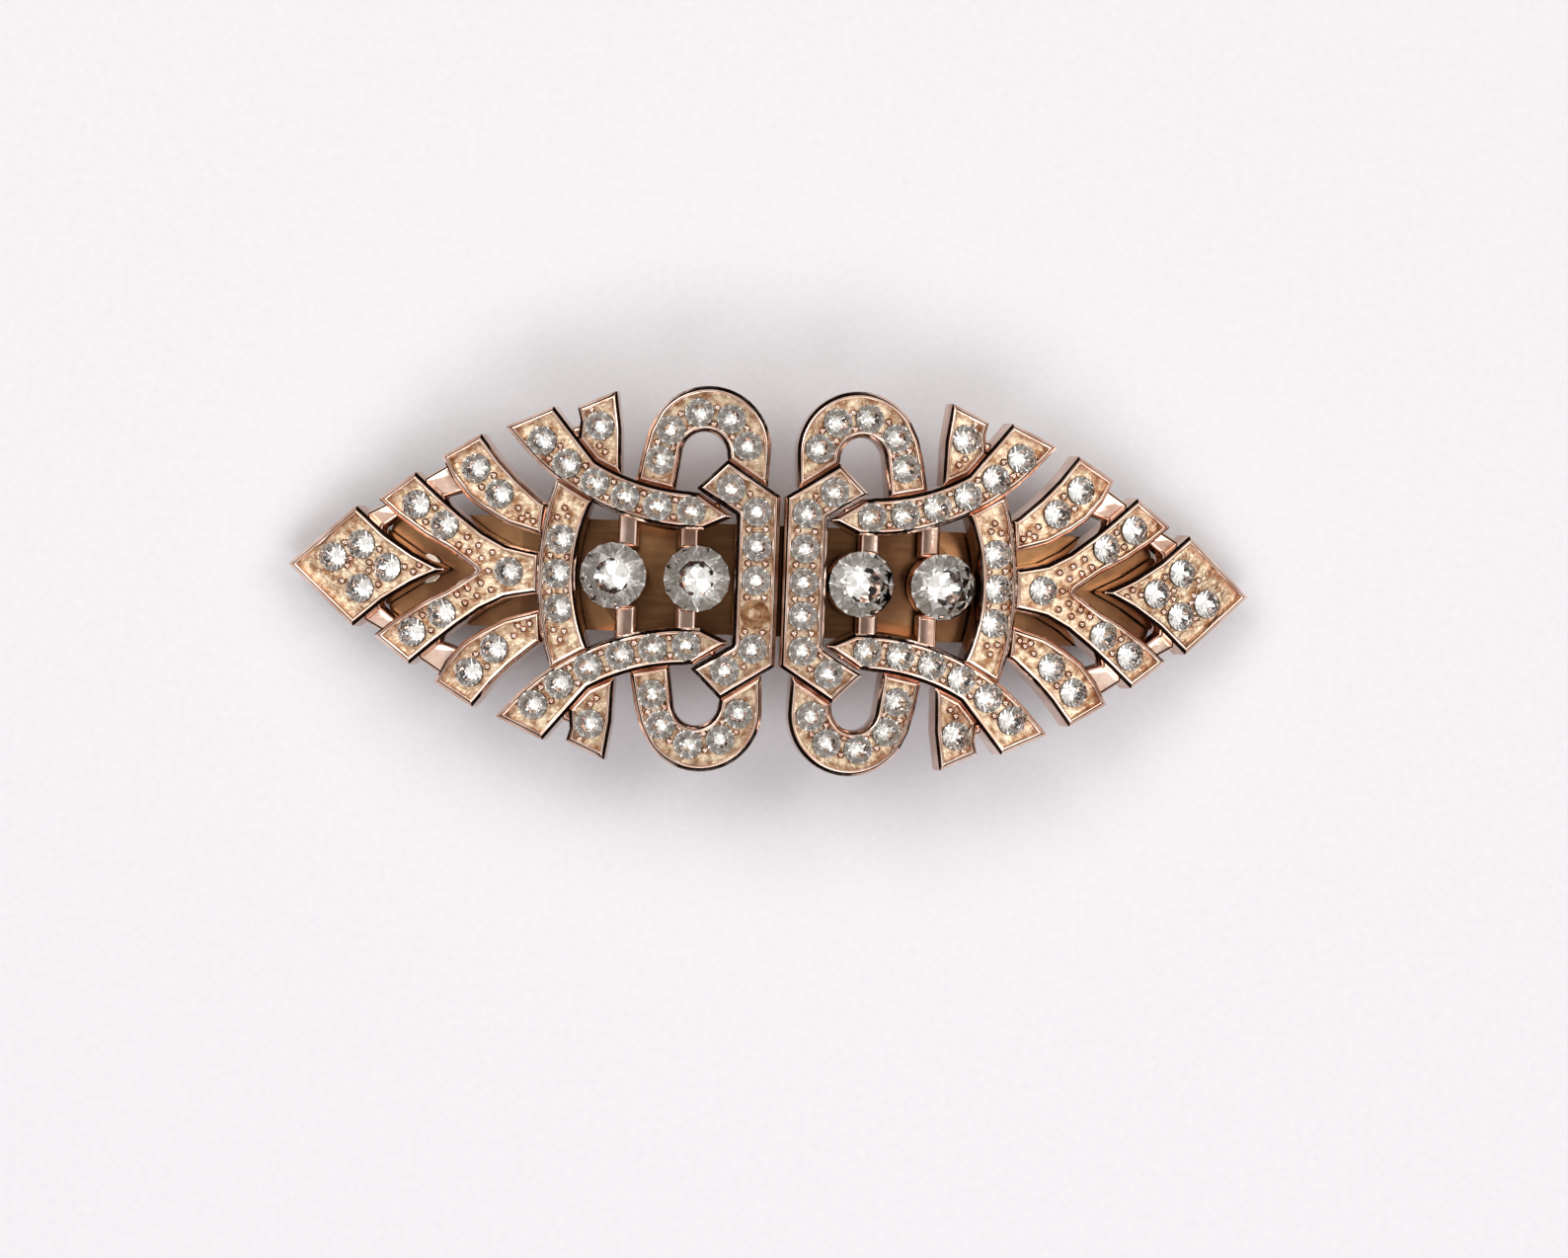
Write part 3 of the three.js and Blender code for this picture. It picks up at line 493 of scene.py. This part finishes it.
def channel_body(index):
    """One channel with its drilled seats, cut clear of the channels that stand over it."""
    name, outline, rim, seats, extra = channels[index]
    mesh = bmesh.new()
    walls = [(0, 0), (0, rim - SIDE_DROP)]
    walls += [(inset, rim + drop) for inset, drop in rim_profile]
    moulded(mesh, outline, walls, FLOOR_SLOT)
    body = scratch_object("channel", mesh)
    top = HIGH_RIM + CUT_SPARE
    for _, later, *_ in channels[index + 1 :]:
        block = bmesh.new()
        moulded(block, later, [(ROOM_INSET, -CUT_SPARE), (ROOM_INSET, top)])
        cut(body, scratch_object("room", block))
    drills = bmesh.new()
    bottom = rim - SEAT_DEPTH
    for seat in seats:
        drill = [(0, bottom), (SEAT_TIP_RADIUS, bottom), (SEAT_RADIUS, rim - SEAT_SHOULDER)]
        drill += [(SEAT_RADIUS, top), (0, top)]
        for face in turned(drills, seat, drill, SEAT_SIDES):
            face.material_index = FLOOR_SLOT
    cut(body, scratch_object("drill", drills))
    result = bmesh.new()
    result.from_mesh(body.data)
    bpy.data.objects.remove(body)
    floor = rim - FLOOR_DROP
    for place in grain_places(seats, extra):
        dome = [(0, floor - GRAIN_SINK), (GRAIN_RADIUS, floor - GRAIN_SINK)]
        for angle in GRAIN_RINGS:
            rise = GRAIN_RISE + GRAIN_RADIUS * math.sin(angle)
            dome.append((GRAIN_RADIUS * math.cos(angle), floor + rise))
        turned(result, place, dome + [(0, floor + GRAIN_RISE + GRAIN_RADIUS)], GRAIN_SIDES)
    return result


# Seats of the large stones: short tubes, a little narrower than the stones that hide them
LARGE_STONES_AT = {"inner": 6.95, "outer": 13.95}
LARGE_RADIUS = 2.78
CUP_SIDES = 40
cup_profile = [(2.18, 0), (2.78, 0), (2.72, 0.5), (2.68, 1.3), (2.62, 1.42), (2.5, 1.45)]
cup_profile += [(2.4, 1.4), (2.3, 1.25), (2.18, 1.1)]

# Necks hold the tubes to the arcs, and bridges tie one channel to the next. Both are low bars with
# rounded tops.
NECK_HALF_WIDTH = 0.9
NECK_FROM = 2.4
NECK_HEIGHT = 1.1
NECK_REACH = 5.3
BRIDGE_HEIGHT = 1.3
bar_round = [(0, -0.45), (0.06, -0.2), (0.22, -0.04), (0.4, 0)]


def neck(at):
    """Outline of the neck that stands a distance along the clip."""
    low, high = at - NECK_HALF_WIDTH, at + NECK_HALF_WIDTH
    return [(low, NECK_FROM), (high, NECK_FROM), (high, NECK_REACH), (low, NECK_REACH)]


bridges = [
    [(26.9, 6.6), (28.4, 8.95), (30.9, 7.45), (29, 5.9)],
    [(32.3, 4.5), (33.6, 5.6), (35.8, 4.5), (34.3, 3.1)],
    [(16.4, 10.9), (17.2, 12.5), (18.7, 12.1), (18, 10.9)],
]
low_bars = [(neck(7.7), NECK_HEIGHT), (neck(12.9), NECK_HEIGHT)]
low_bars += [(outline, BRIDGE_HEIGHT) for outline in bridges]
low_bars += [(mirrored(outline), height) for outline, height in low_bars]


LONGEST_SPAN = 2
SPLIT_ROUNDS = 4


def split_long(mesh):
    """Splits every edge that runs far along the clip, so that flat faces can follow the doming."""
    bmesh.ops.triangulate(mesh, faces=mesh.faces)
    for _ in range(SPLIT_ROUNDS):
        long = [e for e in mesh.edges if abs(e.verts[0].co.x - e.verts[1].co.x) > LONGEST_SPAN]
        if not long:
            return
        bmesh.ops.subdivide_edges(mesh, edges=long, cuts=1)
        bmesh.ops.triangulate(mesh, faces=mesh.faces)


SHADING_TURN = math.radians(38)


def casting_data():
    """The whole casting of the right half, bent to the doming."""
    whole = bmesh.new()
    for index in range(len(channels)):
        part = channel_body(index)
        bmesh.ops.triangulate(part, faces=part.faces)
        holder = bpy.data.meshes.new("part")
        part.to_mesh(holder)
        part.free()
        whole.from_mesh(holder)
        bpy.data.meshes.remove(holder)
    for at in LARGE_STONES_AT.values():
        turned(whole, (at, 0), cup_profile, CUP_SIDES, closed=True)
    for outline, height in low_bars:
        moulded(whole, outline, [(0, 0)] + [(inset, height + drop) for inset, drop in bar_round])
    split_long(whole)
    for vertex in whole.verts:
        vertex.co = domed(*vertex.co)
    bmesh.ops.recalc_face_normals(whole, faces=whole.faces)
    data = bpy.data.meshes.new("casting")
    whole.to_mesh(data)
    whole.free()
    data.shade_smooth()
    data.set_sharp_from_angle(angle=SHADING_TURN)
    return data


HALF_TURN = Matrix.Rotation(math.pi, 4, "Z")
halves = {"right": Matrix.Identity(4), "left": HALF_TURN}


def add_piece(name, data, body, nodes):
    """Adds a finished mesh as a piece that rides on a body and stands for CAD nodes."""
    piece = bpy.data.objects.new(name, data)
    bpy.context.scene.collection.objects.link(piece)
    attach(piece, body)
    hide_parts(*nodes)
    return piece


casting = casting_data()
for finish in (rose_gold, satin_gold_and_painted_shade):
    casting.materials.append(finish)
for side, turn in halves.items():
    data = casting.copy()
    data.transform(turn)
    add_piece(f"plated_casting_{side}", data, "clip", [f"casting_{side}"])

# ---------- Small rhinestones ----------
# Machine-cut glass chatons, foiled behind with silver and cemented into the drilled seats. Each one
# sits turned its own way and not quite level, which is what makes a row of them twinkle.

STONE_RADIUS = 1.2
STONE_GIRDLE_DROP = 0.42
small_cut = {"table": 0.68, "crown": 0.44, "girdle": 0.06, "pavilion": 0.89}
# Parts of the way from the table to the girdle, and from the point to the girdle, where facets meet
STAR_REACH = 0.5
LOW_STAR_REACH = 0.28
MOST_TILT = math.radians(3)
TWINKLE_SEED = 7
# The stone below the middle of the left bracket has fallen out, and its seat is bare
EMPTY_SEAT = 1


def chaton(mesh, place, radius, cut_sizes):
    """Adds a brilliant-cut stone: eight mains and sixteen halves above and below the girdle.
    Crown faces get the glass, which is slot 0, and the faces behind get the foil, slot 1."""
    table, crown = cut_sizes["table"], cut_sizes["crown"]
    girdle, pavilion = cut_sizes["girdle"], cut_sizes["pavilion"]
    eighth = math.pi / 4

    def ring(distance, height, count, offset=0.0):
        angles = [2 * math.pi * k / count + offset for k in range(count)]
        return [
            mesh.verts.new(place @ Vector((distance * math.cos(a), distance * math.sin(a), height)))
            for a in angles
        ]

    lean = math.cos(eighth / 2)
    star = table + STAR_REACH * (radius - table)
    star_height = crown * (radius - star * lean) / (radius - table)
    low_star = LOW_STAR_REACH * radius
    low_height = -girdle - pavilion * (1 - low_star * lean / radius)
    top = ring(table, crown, 8)
    upper = ring(star, star_height, 8, eighth / 2)
    edge = ring(radius, 0, 16)
    under = ring(radius, -girdle, 16)
    lower = ring(low_star, low_height, 8, eighth / 2)
    point = mesh.verts.new(place @ Vector((0, 0, -girdle - pavilion)))
    glass, foil = [top], []
    for k in range(8):
        n = (k + 1) % 8
        glass += [(top[k], upper[k], top[n]), (top[k], upper[k - 1], edge[2 * k], upper[k])]
        glass += [(upper[k], edge[2 * k], edge[2 * k + 1])]
        glass += [(upper[k], edge[2 * k + 1], edge[2 * n])]
        foil += [(point, lower[k - 1], under[2 * k], lower[k])]
        foil += [(lower[k], under[2 * k], under[2 * k + 1])]
        foil += [(lower[k], under[2 * k + 1], under[2 * n])]
    for k in range(16):
        glass.append((edge[k - 1], edge[k], under[k], under[k - 1]))
    for index, faces in enumerate((glass, foil)):
        for corners in faces:
            mesh.faces.new(corners).material_index = index


def set_in(along, across, height, turn, chance):
    """Placement of a stone on the domed clip, in metres from sizes in mm."""
    angle = along / (BEND_RADIUS + PLAN_HEIGHT)
    stand = Matrix.Rotation(angle, 4, "Y")
    spin = Matrix.Rotation(chance.uniform(0, math.pi / 4), 4, "Z")
    tilt = Matrix.Rotation(chance.uniform(-MOST_TILT, MOST_TILT), 4, "X")
    nod = Matrix.Rotation(chance.uniform(-MOST_TILT, MOST_TILT), 4, "Y")
    seat = Matrix.Translation(domed(along, across, height))
    return turn @ seat @ stand @ tilt @ nod @ spin @ Matrix.Scale(MM, 4)


def stone_data(name, mesh):
    """Mesh data of cut stones, with the glass and the foil in their slots."""
    bmesh.ops.recalc_face_normals(mesh, faces=mesh.faces)
    data = bpy.data.meshes.new(name)
    mesh.to_mesh(data)
    mesh.free()
    data.materials.append(cut_glass)
    data.materials.append(silver_foil)
    return data


def cut_glass_material():
    """Clear lead glass with faint polishing haze, finer than 1 mm, on its facets."""
    material, tree = new_material("machine_cut_glass")
    place = add_node(tree, "ShaderNodeTexCoord", {}, {}).outputs["Object"]
    haze = add_node(
        tree,
        "ShaderNodeTexNoise",
        {},
        {"Vector": place, "Scale": 1 / (0.7 * MM), "Detail": 2.0},
    )
    rough = add_node(
        tree,
        "ShaderNodeMapRange",
        {},
        {"Value": haze.outputs["Fac"], "To Min": 0.0, "To Max": 0.03},
    )
    shader = add_node(
        tree,
        "ShaderNodeBsdfPrincipled",
        {},
        {
            "Base Color": linear("#FBFBFD"),
            "Transmission Weight": 1.0,
            "IOR": 1.56,
            "Roughness": rough.outputs["Result"],
        },
    )
    add_node(tree, "ShaderNodeOutputMaterial", {}, {"Surface": shader.outputs["BSDF"]})
    return material


cut_glass = cut_glass_material()
# Silver mirror coat behind the glass: cool, bright, with slight clouding
silver_foil = metal("silver_foil", ("#E8E6E2", "#FBFAF8"), 0.8, (0.4, 0.4, 0.4), (0.02, 0.08), 0.0)

# Turned half round, the top channels of the pattern lie at the bottom of the left half
swapped = {"top": "bottom", "bottom": "top"}
chance = random.Random(TWINKLE_SEED)
for side, turn in halves.items():
    for name, _, rim, seats, _ in channels:
        mesh = bmesh.new()
        for index, (along, across) in enumerate(seats):
            place = set_in(along, across, rim - STONE_GIRDLE_DROP, turn, chance)
            if side == "left" and name == "bracket" and index == EMPTY_SEAT:
                continue
            chaton(mesh, place, STONE_RADIUS, small_cut)
        if side == "left":
            base, _, end = name.partition("_")
            name = f"{base}_{swapped[end]}" if end else base
        piece_name = f"chatons_{name}_{side}"
        node = f"stones_{name}_{side}"
        add_piece(piece_name, stone_data(piece_name, mesh), "clip", [node])

# ---------- Large rhinestones ----------
# Four larger chatons of the same foiled glass. Each is cemented on a short tube of the casting,
# which it hides.

LARGE_GIRDLE_HEIGHT = 2.0
large_cut = {"table": 1.55, "crown": 0.85, "girdle": 0.1, "pavilion": 2.06}
for side, turn in halves.items():
    for position, at in LARGE_STONES_AT.items():
        mesh = bmesh.new()
        chaton(mesh, set_in(at, 0, LARGE_GIRDLE_HEIGHT, turn, chance), LARGE_RADIUS, large_cut)
        name = f"large_chaton_{position}_{side}"
        node = f"large_stone_{position}_{side}"
        add_piece(name, stone_data(name, mesh), "clip", [node])

# ---------- Floor ----------
# A sheet of smooth, uncoated white card that the clip lies on. It is no part of the clip.

FLOOR_HALF = 900 * MM


def card_material():
    """White card: matt and faintly cool. Its soft tooth is drawn at 0.6 mm, coarse enough to
    show."""
    material, tree = new_material("white_card")
    place = add_node(tree, "ShaderNodeTexCoord", {}, {}).outputs["Object"]
    tooth = add_node(
        tree,
        "ShaderNodeTexNoise",
        {},
        {"Vector": place, "Scale": 1 / (0.6 * MM), "Detail": 3.0},
    )
    tint = add_node(tree, "ShaderNodeValToRGB", {}, {"Fac": tooth.outputs["Fac"]})
    tint.color_ramp.elements[0].color = linear("#E6E5EA")
    tint.color_ramp.elements[1].color = linear("#F0EFF3")
    bump = add_node(
        tree,
        "ShaderNodeBump",
        {},
        {"Height": tooth.outputs["Fac"], "Distance": 0.05 * MM, "Strength": 0.5},
    )
    shader = add_node(
        tree,
        "ShaderNodeBsdfPrincipled",
        {},
        {
            "Base Color": tint.outputs["Color"],
            "Roughness": 0.85,
            "Normal": bump.outputs["Normal"],
        },
    )
    add_node(tree, "ShaderNodeOutputMaterial", {}, {"Surface": shader.outputs["BSDF"]})
    return material


mesh = bmesh.new()
corners = [(-1, -1), (1, -1), (1, 1), (-1, 1)]
mesh.faces.new([mesh.verts.new((x * FLOOR_HALF, y * FLOOR_HALF, 0)) for x, y in corners])
data = bpy.data.meshes.new("card_floor")
mesh.to_mesh(data)
mesh.free()
data.materials.append(card_material())
floor = bpy.data.objects.new("card_floor", data)
bpy.context.scene.collection.objects.link(floor)

# ---------- Light ----------
# A plain dome, dark at the horizon and dimmer overhead with a bright ring between, and three soft
# boxes. The plating reflects both bright and dark, and the stones send the ring back.

world = bpy.data.worlds.new("studio_dome")
world.use_nodes = True
tree = world.node_tree
tree.nodes.clear()
sky = add_node(tree, "ShaderNodeTexCoord", {}, {}).outputs["Generated"]
split = add_node(tree, "ShaderNodeSeparateXYZ", {}, {"Vector": sky})
fall = add_node(tree, "ShaderNodeValToRGB", {}, {"Fac": split.outputs["Z"]})
dome_shades = [(0.5, "#150F0D"), (0.66, "#FFFDFB"), (0.9, "#FFFDFB"), (0.975, "#8A837E")]
stops = fall.color_ramp.elements
while len(stops) < len(dome_shades):
    stops.new(0.5)
for stop, (position, shade) in zip(stops, dome_shades):
    stop.position = position
    stop.color = linear(shade)
glow = add_node(tree, "ShaderNodeBackground", {}, {"Color": fall.outputs["Color"], "Strength": 1.1})
add_node(tree, "ShaderNodeOutputWorld", {}, {"Surface": glow.outputs["Background"]})
bpy.context.scene.world = world


def soft_box(name, place, size, power, colour):
    """A rectangular light aimed at the clip. Place and size are in millimetres."""
    light = bpy.data.lights.new(name, "AREA")
    light.shape = "RECTANGLE"
    light.size, light.size_y = size[0] * MM, size[1] * MM
    light.energy = power
    light.color = linear(colour)[:3]
    lamp = bpy.data.objects.new(name, light)
    lamp.location = Vector(place) * MM
    lamp.rotation_euler = (-lamp.location).to_track_quat("-Z", "Y").to_euler()
    bpy.context.scene.collection.objects.link(lamp)


soft_box("window_box", (-290, 230, 430), (330, 260), 0.85, "#FFFDFA")
soft_box("side_box", (330, 130, 420), (170, 330), 0.55, "#FFF8F2")
soft_box("front_box", (60, -310, 430), (420, 170), 0.66, "#F8F9FF")

# ---------- Camera ----------
# A long lens 450 mm above the clip. It looks almost straight down at the stones, and is turned,
# leaned and rolled a little.

YAW = math.radians(4.65)
PITCH = math.radians(0.98)
ROLL = math.radians(2.07)
DISTANCE = 450
TARGET_HEIGHT = 12.3
SIDE_STEP = 0.313
UP_STEP = -3.95
SENSOR_WIDTH = 36
LENS = 123.94

back = Vector((-math.sin(YAW) * math.cos(PITCH), math.sin(PITCH), math.cos(YAW) * math.cos(PITCH)))
level = Vector((math.cos(YAW), 0, math.sin(YAW)))
upright = back.cross(level)
right = level * math.cos(ROLL) + upright * math.sin(ROLL)
up = upright * math.cos(ROLL) - level * math.sin(ROLL)
camera_data = bpy.data.cameras.new("camera")
camera_data.sensor_width = SENSOR_WIDTH
camera_data.lens = LENS
camera = bpy.data.objects.new("camera", camera_data)
stand = Vector((0, 0, TARGET_HEIGHT)) + right * SIDE_STEP + up * UP_STEP + back * DISTANCE
pose = Matrix((right, up, back)).transposed().to_4x4()
pose.translation = stand * MM
camera.matrix_world = pose
bpy.context.scene.collection.objects.link(camera)
bpy.context.scene.camera = camera

# Straight display of the light, with the hard highlights of bright plating kept
bpy.context.scene.view_settings.view_transform = "Standard"
